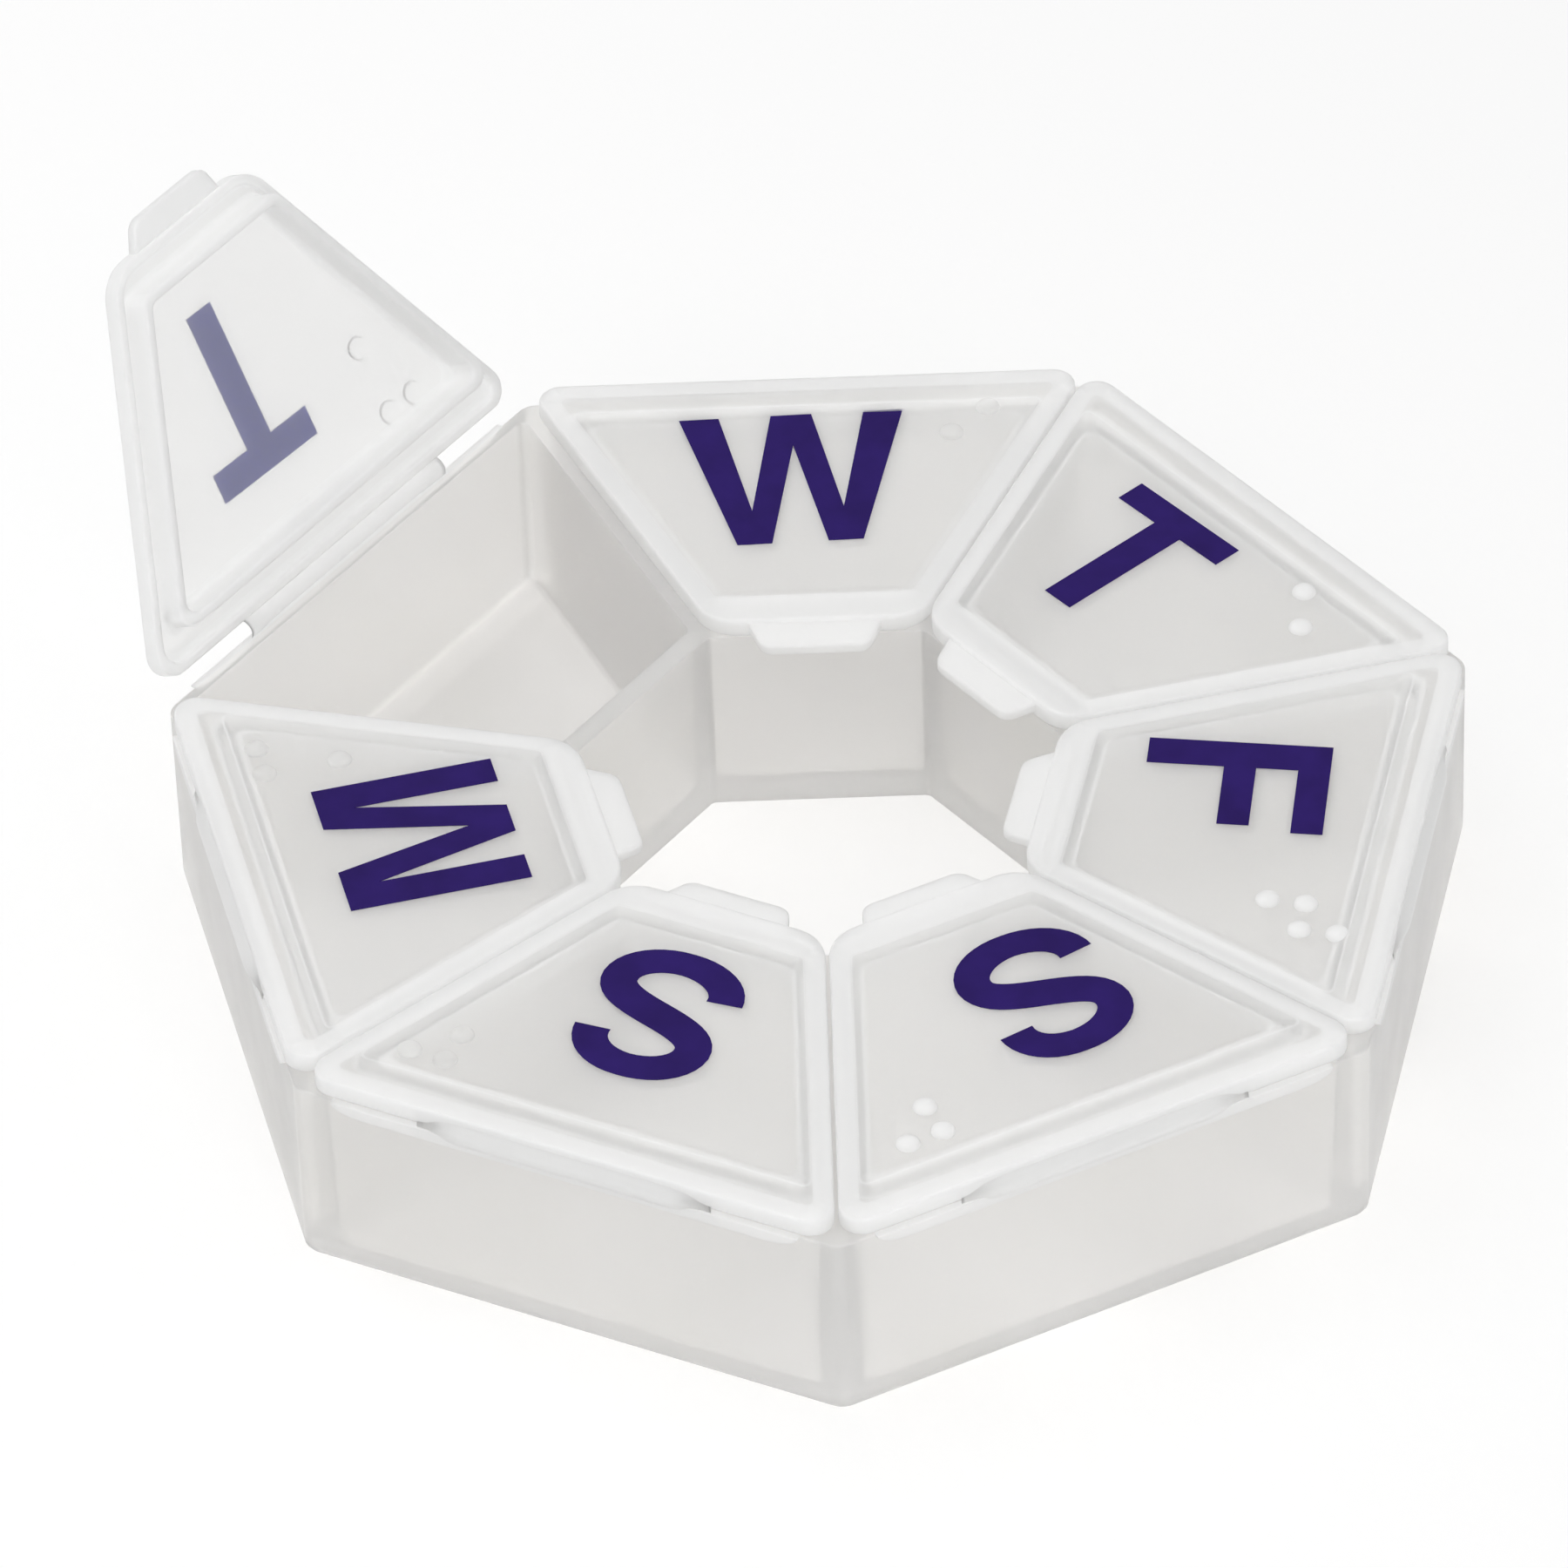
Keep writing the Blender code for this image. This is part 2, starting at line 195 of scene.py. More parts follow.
# Material slots of a lid
FROSTED = 0
CLEAR = 1
RAISED = 2

# Corners of a lid's section, counted from the middle of its window, where clear and frosted plastic meet
SLOPE_TOP = 2
RIB_EDGE = 3
STRIP_EDGE = 4
SKIRT_ROOT = 8
PLUG_ROOT = 12

# Worked out from the values above
LID_OUTER = HINGE_OUT - HINGE_PROUD
LID_INNER = HOLE_RADIUS * math.cos(HALF_SIDE)
WALL_OUTER = LID_OUTER - WALL_SETBACK
HOLE_WALL = LID_INNER + HOLE_SETBACK
RIM_HEIGHT = HEIGHT - LID_EDGE - TOUCH_GAP
WINDOW_HEIGHT = HEIGHT - WINDOW_RECESS

# Plastic, with its noises in cells a metre
SCATTER = 1.5 * MM  # how far light spreads inside the plastic
PLASTIC_BEND = 1.2  # how much the plastic bends light, less than the real one's for a milkier look
PLASTIC_GLOSS = 0.9
CLOUD_CELLS = 60
SMEAR_CELLS = 180
GRAIN_CELLS = 250
GRAIN_DEPTH = 0.03 * MM
NOISE_LOW = 0.3  # most of a noise's values lie between these two
NOISE_HIGH = 0.7

# Ink, with its noises in cells a metre
INK_BEND = 1.5
INK_ROUGHNESS = (0.35, 0.5)
INK_CLOUD_CELLS = 250
INK_SMEAR_CELLS = 600
INK_GRAIN_CELLS = 900
INK_GRAIN_STRENGTH = 0.1
INK_GRAIN_DEPTH = 0.02 * MM

# Floor and light, with places and sizes in metres
WHITE = (1, 1, 1, 1)
FLOOR_SIZE = 1.5
FLOOR_COLOUR = (0.92, 0.92, 0.92, 1)
FLOOR_ROUGHNESS = 0.9
FLOOR_GLOW = 0.12
WORLD_LIGHT = 0.56
KEY_POWER = 1.9
KEY_SIZE = 0.5
KEY_PLACE = (-0.35, 0.25, 0.75)
FILL_POWER = 2.5
FILL_SIZE = 0.6
FILL_PLACE = (0.1, -0.65, 0.65)

# Camera, from the corners of the ring in the photograph
VIEW_AZIMUTH = math.radians(0.17)
VIEW_ELEVATION = math.radians(41.73)
VIEW_ROLL = math.radians(-2.14)
VIEW_DISTANCE = 1205.5 * MM
VIEW_ASIDE = -3.22 * MM
VIEW_UP = -1.51 * MM
LENS = 313.24  # in millimetres, as the sensor is
SENSOR = 36
CLIP_SHARE = 0.05  # where the camera starts to see, as a share of its distance


def tint(material, cells, octaves=3):
    """Soft cloudiness: a noise of this many cells a metre, with finer ones in it."""
    nodes = material.node_tree.nodes
    place = nodes.new("ShaderNodeTexCoord")
    noise = nodes.new("ShaderNodeTexNoise")
    noise.inputs["Scale"].default_value = cells
    noise.inputs["Detail"].default_value = octaves
    material.node_tree.links.new(place.outputs["Object"], noise.inputs["Vector"])
    return noise.outputs["Fac"]


def spread(material, factor, low, high):
    """Maps the range of most of a noise's values to low..high."""
    mapping = material.node_tree.nodes.new("ShaderNodeMapRange")
    mapping.inputs["From Min"].default_value = NOISE_LOW
    mapping.inputs["From Max"].default_value = NOISE_HIGH
    mapping.inputs["To Min"].default_value = low
    mapping.inputs["To Max"].default_value = high
    material.node_tree.links.new(factor, mapping.inputs["Value"])
    return mapping.outputs["Result"]


def blend_colours(material, factor, first, second):
    """The colour that goes from the first to the second with the factor."""
    mix = material.node_tree.nodes.new("ShaderNodeMix")
    mix.data_type = "RGBA"
    mix.inputs["A"].default_value = (*first, 1)
    mix.inputs["B"].default_value = (*second, 1)
    material.node_tree.links.new(factor, mix.inputs["Factor"])
    return mix.outputs["Result"]


def grain(material, shader, cells, strength, depth):
    """A moulded surface's slight unevenness as bump, with this many cells a metre."""
    nodes = material.node_tree.nodes
    bump = nodes.new("ShaderNodeBump")
    bump.inputs["Strength"].default_value = strength
    bump.inputs["Distance"].default_value = depth
    links = material.node_tree.links
    links.new(tint(material, cells, 0), bump.inputs["Height"])
    links.new(bump.outputs["Normal"], shader.inputs["Normal"])


def let_lamps_through(material, shader, passed):
    """Light reaches what is behind the plastic: for a ray from a lamp the surface is a pale filter."""
    nodes = material.node_tree.nodes
    links = material.node_tree.links
    path = nodes.new("ShaderNodeLightPath")
    clear = nodes.new("ShaderNodeBsdfTransparent")
    clear.inputs["Color"].default_value = (*passed, 1)
    mix = nodes.new("ShaderNodeMixShader")
    links.new(path.outputs["Is Shadow Ray"], mix.inputs["Fac"])
    links.new(shader.outputs["BSDF"], mix.inputs[1])
    links.new(clear.outputs["BSDF"], mix.inputs[2])
    links.new(mix.outputs["Shader"], nodes["Material Output"].inputs["Surface"])


def plastic(name, colours, roughness, clearness, waviness, passed):
    """Translucent polypropylene: part of the light goes through, the rest scatters inside it."""
    material = bpy.data.materials.new(name)
    material.use_nodes = True
    shader = material.node_tree.nodes["Principled BSDF"]
    links = material.node_tree.links
    clouds = spread(material, tint(material, CLOUD_CELLS), 0, 1)
    smears = spread(material, tint(material, SMEAR_CELLS), *roughness)
    links.new(blend_colours(material, clouds, *colours), shader.inputs["Base Color"])
    links.new(smears, shader.inputs["Roughness"])
    shader.inputs["IOR"].default_value = PLASTIC_BEND
    shader.inputs["Specular IOR Level"].default_value = PLASTIC_GLOSS
    shader.inputs["Transmission Weight"].default_value = clearness
    shader.inputs["Subsurface Weight"].default_value = 1
    shader.inputs["Subsurface Radius"].default_value = (1, 1, 1)
    shader.inputs["Subsurface Scale"].default_value = SCATTER
    grain(material, shader, GRAIN_CELLS, waviness, GRAIN_DEPTH)
    let_lamps_through(material, shader, passed)
    return material


def tray_plastic():
    """Hazy and a little warm, as the tray's walls look."""
    return plastic(
        "tray_frosted",
        colours=((0.935, 0.92, 0.9), (0.96, 0.945, 0.925)),
        roughness=(0.3, 0.38),
        clearness=0.55,
        waviness=0.2,
        passed=(0.95, 0.945, 0.94),
    )


def lid_plastic():
    """Whiter and more frosted, for the lids' frames, skirts, plugs and tabs and for the tray's lips."""
    return plastic(
        "lid_frosted",
        colours=((0.965, 0.965, 0.96), (0.985, 0.985, 0.98)),
        roughness=(0.38, 0.46),
        clearness=0.28,
        waviness=0.15,
        passed=(0.94, 0.94, 0.94),
    )


def window_plastic():
    """The clearest plastic, for the windows and for the dots of the days that have no white ones."""
    return plastic(
        "lid_window",
        colours=((0.925, 0.922, 0.915), (0.945, 0.942, 0.935)),
        roughness=(0.29, 0.34),
        clearness=0.7,
        waviness=0.1,
        passed=(0.96, 0.96, 0.955),
    )


def dot_plastic():
    """Cream-white and hardly clear."""
    return plastic(
        "raised_dots",
        colours=((0.95, 0.95, 0.94), (0.97, 0.97, 0.96)),
        roughness=(0.3, 0.4),
        clearness=0.15,
        waviness=0.1,
        passed=(0.9, 0.9, 0.9),
    )


def film_plastic_painted_bright():
    """Plastic less clear than the lids' plastic, so that the film shows whiter: painted light that
    brightens its outward face, which gets less light than the lids' tops.
    """
    return plastic(
        "hinge_film",
        colours=((0.965, 0.963, 0.955), (0.98, 0.978, 0.97)),
        roughness=(0.34, 0.42),
        clearness=0.15,
        waviness=0.1,
        passed=(0.93, 0.93, 0.93),
    )


def ink_material(name, colours, gloss):
    """Dark indigo pad-printed ink, a little uneven."""
    material = bpy.data.materials.new(name)
    material.use_nodes = True
    shader = material.node_tree.nodes["Principled BSDF"]
    links = material.node_tree.links
    clouds = spread(material, tint(material, INK_CLOUD_CELLS), 0, 1)
    smears = spread(material, tint(material, INK_SMEAR_CELLS), *INK_ROUGHNESS)
    links.new(blend_colours(material, clouds, *colours), shader.inputs["Base Color"])
    links.new(smears, shader.inputs["Roughness"])
    shader.inputs["IOR"].default_value = INK_BEND
    shader.inputs["Specular IOR Level"].default_value = gloss
    grain(material, shader, INK_GRAIN_CELLS, INK_GRAIN_STRENGTH, INK_GRAIN_DEPTH)
    return material


def front_ink():
    """The ink as it is seen from outside a lid."""
    return ink_material("printed_ink", colours=((0.015, 0.002, 0.1), (0.021, 0.005, 0.135)), gloss=0.15)


def back_ink_painted_light():
    """The ink's back, which shows bluer through an open lid: a lighter, bluer copy of the same ink,
    painted light.
    """
    return ink_material("printed_ink_back_painted_light", colours=((0.004, 0.01, 0.24), (0.008, 0.014, 0.28)), gloss=0)


def rounded(corners, radii, steps=CORNER_STEPS):
    """The outline through these corners, in order, with each corner an arc of its own radius."""
    points = []
    for index, corner in enumerate(corners):
        corner = Vector(corner)
        back = (Vector(corners[index - 1]) - corner).normalized()
        ahead = (Vector(corners[(index + 1) % len(corners)]) - corner).normalized()
        half_angle = back.angle(ahead) / 2
        bisector = (back + ahead).normalized()
        centre = corner + bisector * radii[index] / math.sin(half_angle)
        start = corner + back * radii[index] / math.tan(half_angle) - centre
        end = corner + ahead * radii[index] / math.tan(half_angle) - centre
        sweep = start.angle_signed(end)
        for step in range(steps + 1):
            arm = start.copy()
            arm.rotate(Matrix.Rotation(-sweep * step / steps, 2))
            points.append(tuple(centre + arm))
    return points


def heptagon(apothem, corner):
    """A ring outline with one corner on -Y. Each side's middle is at this distance from the centre."""
    radius = apothem / math.cos(HALF_SIDE)
    angles = [2 * HALF_SIDE * k - math.pi / 2 for k in range(SIDES)]
    corners = [(radius * math.cos(a), radius * math.sin(a)) for a in angles]
    return rounded(corners, [corner] * SIDES)


def wedge(outer, inner, gap, outer_corner, inner_corner):
    """One side's share of the ring, with the centre at (0, 0) and its outer edge towards -Y."""
    outer_half = outer * math.tan(HALF_SIDE) - gap / math.cos(HALF_SIDE)
    inner_half = inner * math.tan(HALF_SIDE) - gap / math.cos(HALF_SIDE)
    corners = [(-outer_half, -outer), (outer_half, -outer), (inner_half, -inner), (-inner_half, -inner)]
    return rounded(corners, [outer_corner, outer_corner, inner_corner, inner_corner])


def soften(levels, radii):
    """The levels of a loft, with each bend between three of them rounded over about this far."""
    smooth = [levels[0]]
    for before, level, after, radius in zip(levels, levels[1:], levels[2:], radii):
        ends = []
        for other in (before, after):
            change = [b - a for a, b in zip(level, other)]
            share = min(ROUND_LIMIT_SHARE, radius / max(abs(size) for size in change))
            ends.append([a + share * size for a, size in zip(level, change)])
        for step in range(ROUND_STEPS + 1):
            t = step / ROUND_STEPS
            weights = ((1 - t) ** 2, 2 * t * (1 - t), t ** 2)
            rows = zip(ends[0], level, ends[1])
            smooth.append(tuple(sum(w * size for w, size in zip(weights, row)) for row in rows))
    smooth.append(levels[-1])
    return smooth


def loft(name, levels, outline, slots=None):
    """A closed solid through the outlines of these levels. The last number of a level is its height.

    slots gives the material slot of the band from each level to the next. Without it, all is in slot 0.
    """
    bm = bmesh.new()
    rings = []
    for *sizes, z in levels:
        rings.append([bm.verts.new((x, y, z)) for x, y in outline(*sizes)])
    for index, (low, high) in enumerate(zip(rings, rings[1:])):
        for k in range(len(low)):
            face = bm.faces.new((low[k - 1], low[k], high[k], high[k - 1]))
            face.material_index = slots(index) if slots else 0
    for index, ring in ((0, rings[0]), (len(rings) - 1, rings[-1])):
        cap = bm.faces.new(ring)
        cap.material_index = slots(index) if slots else 0
    bmesh.ops.recalc_face_normals(bm, faces=bm.faces)
    return new_piece(name, bm)


def new_piece(name, bm):
    """An object in the scene with this bmesh's shape. The bmesh is used up."""
    mesh = bpy.data.meshes.new(name)
    bm.to_mesh(mesh)
    bm.free()
    mesh.shade_smooth()
    piece = bpy.data.objects.new(name, mesh)
    bpy.context.scene.collection.objects.link(piece)
    return piece


def shaped(piece, *changes):
    """The piece with each (operation, other piece) applied in turn. The other pieces are used up."""
    for operation, other in changes:
        modifier = piece.modifiers.new(other.name, "BOOLEAN")
        modifier.operation = operation
        modifier.solver = "EXACT"
        modifier.object = other
    bpy.context.view_layer.update()
    graph = bpy.context.evaluated_depsgraph_get()
    mesh = bpy.data.meshes.new_from_object(piece.evaluated_get(graph))
    piece.modifiers.clear()
    piece.data = mesh
    for _, other in changes:
        bpy.data.objects.remove(other)
    return piece


def flat_faces_stay_flat(piece):
    """Normals that follow the large faces, so that only the fillets look round."""
    piece.data.shade_smooth()
    piece.data.set_sharp_from_angle(angle=SHARP_ANGLE)
    normals = piece.modifiers.new("normals", "WEIGHTED_NORMAL")
    normals.mode = "FACE_AREA"
    normals.weight = LARGE_FACE_WEIGHT
    normals.keep_sharp = True


def hinge_place(day):
    """The hinge's place: X along its axis, Y inwards over the compartment, Z up."""
    along = Vector(HINGES[day]["axis"]).normalized()
    inwards = Vector((0, 0, 1)).cross(along)
    place = Matrix((along, inwards, (0, 0, 1))).transposed().to_4x4()
    place.translation = Vector(HINGES[day]["pos_m"])
    return place


def opened_at_rest(day):
    """How far this day's lid stands open at rest. Each joint's least angle closes its lid."""
    return math.radians(-HINGES[day]["range_deg"][0])


def lid_place(day):
    """The place of a lid's own frame, in which it is closed and the ring's centre is at (0, 0, 0)."""
    closed = Matrix.Translation((0, HINGE_OUT, -HINGE_HEIGHT))
    return hinge_place(day) @ Matrix.Rotation(opened_at_rest(day), 4, "X") @ closed


def wall_place(day):
    """The place of a frame that lies as the closed lid's frame does."""
    return hinge_place(day) @ Matrix.Translation((0, HINGE_OUT, -HINGE_HEIGHT))


def heptagon_level(apothem, z, corner=TRAY_CORNER):
    """A level of a loft through ring outlines."""
    return (apothem, corner, z)


def move_to_centre(piece):
    """Moves a piece that was made round (0, 0) to the ring's centre."""
    piece.data.transform(Matrix.Translation(CENTRE))


def make_tray(material, lip_material):
    """The tray: a block with the open middle and seven compartments cut out, and a lip on each side."""
    levels = [
        heptagon_level(WALL_OUTER - OUTER_DRAFT - FLAT_SHARE * FOOT_ROUND, 0),
        heptagon_level(WALL_OUTER - OUTER_DRAFT, 0),
        heptagon_level(WALL_OUTER, RIM_HEIGHT),
        heptagon_level(WALL_OUTER - 2 * RIM_ROUND, RIM_HEIGHT),
    ]
    tray = loft("tray_moulding", soften(levels, [FOOT_ROUND, RIM_ROUND]), heptagon)
    tray.data.materials.append(material)
    tray.data.materials.append(lip_material)
    move_to_centre(tray)
    changes = [("DIFFERENCE", make_hole_cutter())]
    for day in DAYS:
        changes.append(("DIFFERENCE", make_pocket_cutter(day)))
        lip = make_lip(day)
        lip.data.materials.append(lip_material)
        changes.append(("UNION", lip))
    shaped(tray, *changes)
    flat_faces_stay_flat(tray)
    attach(tray, "tray")
    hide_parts("tray")


def make_hole_cutter():
    """The open middle. Its upper edge is rounded where it meets the rim."""
    levels = [
        heptagon_level(HOLE_WALL + OUTER_DRAFT, -OVERRUN, HOLE_CORNER),
        heptagon_level(HOLE_WALL, RIM_HEIGHT - RIM_ROUND, HOLE_CORNER),
        heptagon_level(HOLE_WALL, RIM_HEIGHT, HOLE_CORNER),
        heptagon_level(HOLE_WALL + RIM_ROUND, RIM_HEIGHT, HOLE_CORNER),
        heptagon_level(HOLE_WALL + RIM_ROUND, RIM_HEIGHT + OVERRUN, HOLE_CORNER),
    ]
    hole = loft("hole_cutter", soften(levels, [0, RIM_ROUND, 0]), heptagon)
    move_to_centre(hole)
    return hole


def make_pocket_cutter(day):
    """The inside of one compartment: a rounded floor, drafted walls and a softly rounded mouth."""
    outer = WALL_OUTER - OUTER_WALL
    inner = HOLE_WALL + INNER_WALL
    side = PARTITION / 2

    def level(inset, z):
        """A level of the pocket, this far inside the outline of its mouth."""
        corner = POCKET_CORNER
        return (outer - inset, inner + inset, side + inset, corner, corner, z)

    levels = [
        level(POCKET_DRAFT + FLAT_SHARE * POCKET_FLOOR_ROUND, FLOOR),
        level(POCKET_DRAFT, FLOOR),
        level(0, RIM_HEIGHT),
        level(-RIM_ROUND, RIM_HEIGHT),
        level(-RIM_ROUND, RIM_HEIGHT + OVERRUN),
    ]
    pocket = loft(f"pocket_{day}", soften(levels, [POCKET_FLOOR_ROUND, RIM_ROUND, 0]), wedge)
    pocket.data.transform(wall_place(day))
    return pocket


def make_lip(day):
    """A ledge under one lid's edge, flush with the tray's rim. Its ends curve up to the rim."""
    half = WALL_OUTER * math.tan(HALF_SIDE) * LIP_LENGTH_SHARE
    end = LIP_HEIGHT * LIP_END_SHARE
    steps = CORNER_STEPS
    embed = OUTER_WALL / 2

    def outline(inset):
        """The lip's face, this far inside its edge, with its top along y = 0."""
        points = [(half - inset, -inset), (-half + inset, -inset)]
        for step in range(1, steps + 1):
            turn = math.pi / 2 * step / steps
            drop = (LIP_HEIGHT - inset) * math.sin(turn)
            points.append((-half + inset + end * (1 - math.cos(turn)), -max(drop, inset)))
        return points + [(-x, z) for x, z in reversed(points[2:])]

    levels = [(0, 0), (0, LIP_PROUD + embed), (LIP_ROUND, LIP_PROUD + embed)]
    lip = loft(f"lip_{day}", soften(levels, [LIP_ROUND]), outline)
    stand_up = Matrix.Rotation(math.pi / 2, 4, "X")
    place = Matrix.Translation((0, -WALL_OUTER + embed, RIM_HEIGHT))
    lip.data.transform(wall_place(day) @ place @ stand_up)
    return lip


def lid_level(inset, z):
    """A level of the lid's section that follows its edge, this far in."""
    outer_corner = max(LID_OUTER_CORNER - inset / 2, EDGE_ROUND)
    inner_corner = LID_INNER_CORNER - inset
    return (LID_OUTER - inset, LID_INNER + inset, LID_SIDE_GAP + inset, outer_corner, inner_corner, z)


def plug_level(hinge_inset, inset, corner, z):
    """A level of the lid's section that follows its plug, this far in at the hinge and elsewhere."""
    outer = WALL_OUTER - OUTER_WALL - PLUG_HINGE_CLEARANCE - hinge_inset
    inner = HOLE_WALL + INNER_WALL + PLUG_CLEARANCE + inset
    gap = PARTITION / 2 + PLUG_CLEARANCE + inset
    return (outer, inner, gap, corner, corner, z)


def lid_levels():
    """The lid's section from the middle of its window, out over its edge and back to its underside."""
    hinge_inset = WINDOW_HINGE_INSET
    rib_end = hinge_inset - RIB_WIDTH
    pane_inset = PLUG_WALL + WINDOW_FRAME_STEP
    under = HEIGHT - LID_PLATE
    plug_foot = RIM_HEIGHT - PLUG_DEPTH
    edge_foot = HEIGHT - LID_EDGE
    inner_corner = PLUG_CORNER - PLUG_WALL / 2
    rib_inset = pane_inset - RIB_SPREAD_SHARE * WINDOW_SLOPE
    strip_inset = pane_inset - STRIP_SPREAD_SHARE * WINDOW_SLOPE

    def pane_level(hinge_inset, inset, z):
        """A level that follows the window."""
        return plug_level(hinge_inset, inset, WINDOW_CORNER, z)

    chain = [
        (pane_level(hinge_inset + PLUG_WALL, pane_inset + PLUG_WALL, WINDOW_HEIGHT), 0),
        (pane_level(hinge_inset, pane_inset, WINDOW_HEIGHT), WINDOW_ROUND),
        (pane_level(hinge_inset - WINDOW_SLOPE, pane_inset - WINDOW_SLOPE, HEIGHT), WINDOW_ROUND),
        (pane_level(rib_end, rib_inset, HEIGHT), 0),
        (pane_level(rib_end - STRIP_WIDTH, strip_inset, HEIGHT), 0),
        (lid_level(0, HEIGHT), LID_TOP_ROUND),
        (lid_level(0, edge_foot), EDGE_ROUND),
        (lid_level(SKIRT_WALL, edge_foot), EDGE_ROUND),
        (lid_level(SKIRT_WALL, under), UNDER_ROUND),
        (plug_level(0, 0, PLUG_CORNER, under), UNDER_ROUND),
        (plug_level(0, 0, PLUG_CORNER, plug_foot), PLUG_LEAD_IN),
        (plug_level(PLUG_WALL, PLUG_WALL, inner_corner, plug_foot), PLUG_LEAD_IN),
        (plug_level(PLUG_WALL, PLUG_WALL, inner_corner, under), UNDER_ROUND),
        (plug_level(FLAT_SHARE * PLUG_WALL, FLAT_SHARE * PLUG_WALL, inner_corner, under), 0),
    ]
    levels = [level for level, radius in chain]
    radii = [radius for level, radius in chain][1:-1]
    return soften(levels, radii)


def band_of(corner):
    """The number of the last softened level of this corner of the section."""
    return corner * (ROUND_STEPS + 1)


def lid_slot(index):
    """Clear over the window and over the strip beside the hinge edge, frosted elsewhere."""
    window_top = index < band_of(SLOPE_TOP)
    strip = band_of(RIB_EDGE) <= index < band_of(STRIP_EDGE)
    strip_under = index == band_of(SKIRT_ROOT)
    window_under = index >= band_of(PLUG_ROOT)
    return CLEAR if window_top or strip or strip_under or window_under else FROSTED


def make_tab():
    """The finger tab, which droops a little towards the middle of the ring."""
    half_edge = LID_INNER * math.tan(HALF_SIDE)
    root = -LID_INNER - SKIRT_WALL / 2
    tip = -LID_INNER + TAB_REACH
    base_half = half_edge * TAB_BASE_SHARE
    tip_half = half_edge * TAB_TIP_SHARE

    def outline(inset):
        """The tab from above, this far inside its edge."""
        corners = [(-base_half + inset, root), (base_half - inset, root)]
        corners += [(tip_half - inset, tip - inset), (-tip_half + inset, tip - inset)]
        small = TAB_EDGE_ROUND
        return rounded(corners, [small, small, TAB_CORNER - inset, TAB_CORNER - inset])

    top = HEIGHT - LID_TOP_ROUND / 2
    bottom = top - TAB_THICKNESS
    edge = TAB_EDGE_ROUND
    levels = [(2 * edge, bottom), (0, bottom), (0, top), (2 * edge, top)]
    tab = loft("tab", soften(levels, [edge, edge]), outline)
    slope = TAB_DROOP / (tip - root)
    for vertex in tab.data.vertices:
        vertex.co.z -= slope * (vertex.co.y - root)
    return tab


def make_dot(along, outwards):
    """A low raised dot with a rounded top."""
    sections = [(DOT_RADIUS, -DOT_SINK), (DOT_RADIUS, 0)]
    for step in range(1, DOT_STEPS):
        turn = math.pi / 2 * step / DOT_STEPS
        sections.append((DOT_RADIUS * math.cos(turn), DOT_RISE * math.sin(turn)))

    def circle(radius):
        """The dot from above, at one height."""
        turns = [2 * math.pi * k / DOT_SIDES for k in range(DOT_SIDES)]
        return [(radius * math.cos(turn), radius * math.sin(turn)) for turn in turns]

    dot = loft("dot", sections, circle)
    dot.data.transform(Matrix.Translation((along, -outwards, WINDOW_HEIGHT)))
    return dot


def make_dots(day):
    """The raised dots beside the initial, for reading with a finger, with their top at the hinge."""
    numbers, first_along, first_outwards = DOTS[day]
    dots = []
    for number in numbers:
        column, row = divmod(number - 1, DOT_ROWS)
        dots.append(make_dot(first_along - column * DOT_PITCH, first_outwards - row * DOT_PITCH))
    return dots


def make_lid(day, materials):
    """One day's lid with its tab and raised dots, placed at its own angle."""
    lid = loft(f"lid_moulding_{day}", lid_levels(), wedge, lid_slot)
    for material in materials:
        lid.data.materials.append(material)
    changes = [("UNION", make_tab())]
    for dot in make_dots(day):
        dot.data.materials.append(materials[RAISED if day in WHITE_DOT_DAYS else CLEAR])
        changes.append(("UNION", dot))
    shaped(lid, *changes)
    flat_faces_stay_flat(lid)
    lid.data.transform(lid_place(day))
    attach(lid, f"lid_{day}")
    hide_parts(f"lid_{day}")


def eased(share):
    """The smooth step of the fifth degree: the share of a turn, slow at its start and end."""
    return share**3 * (10 - 15 * share + 6 * share**2)


def film_point(opened, share, bulge):
    """A point of the film's middle, as (inwards, up) from the axis, at this share of the way to the lid.

    It leaves the face of the tray's lip and runs into the face of the lid's edge. Where the bulge is 1,
    the closed film reaches out to the axis between them.
    """
    lip_face = HINGE_PROUD + WALL_SETBACK - LIP_PROUD
    face = lip_face + (HINGE_PROUD - lip_face) * eased(share)
    bottom = RIM_HEIGHT - LIP_HEIGHT + FILM - HINGE_HEIGHT
    top = HEIGHT - LID_TOP_ROUND - HINGE_HEIGHT
    reach = 1 - bulge * math.sin(math.pi * share) ** 2
    point = Vector(((face + FILM_SINK + FILM / 2) * reach, bottom + (top - bottom) * share))
    point.rotate(Matrix.Rotation(opened * eased(share), 2))
    return point


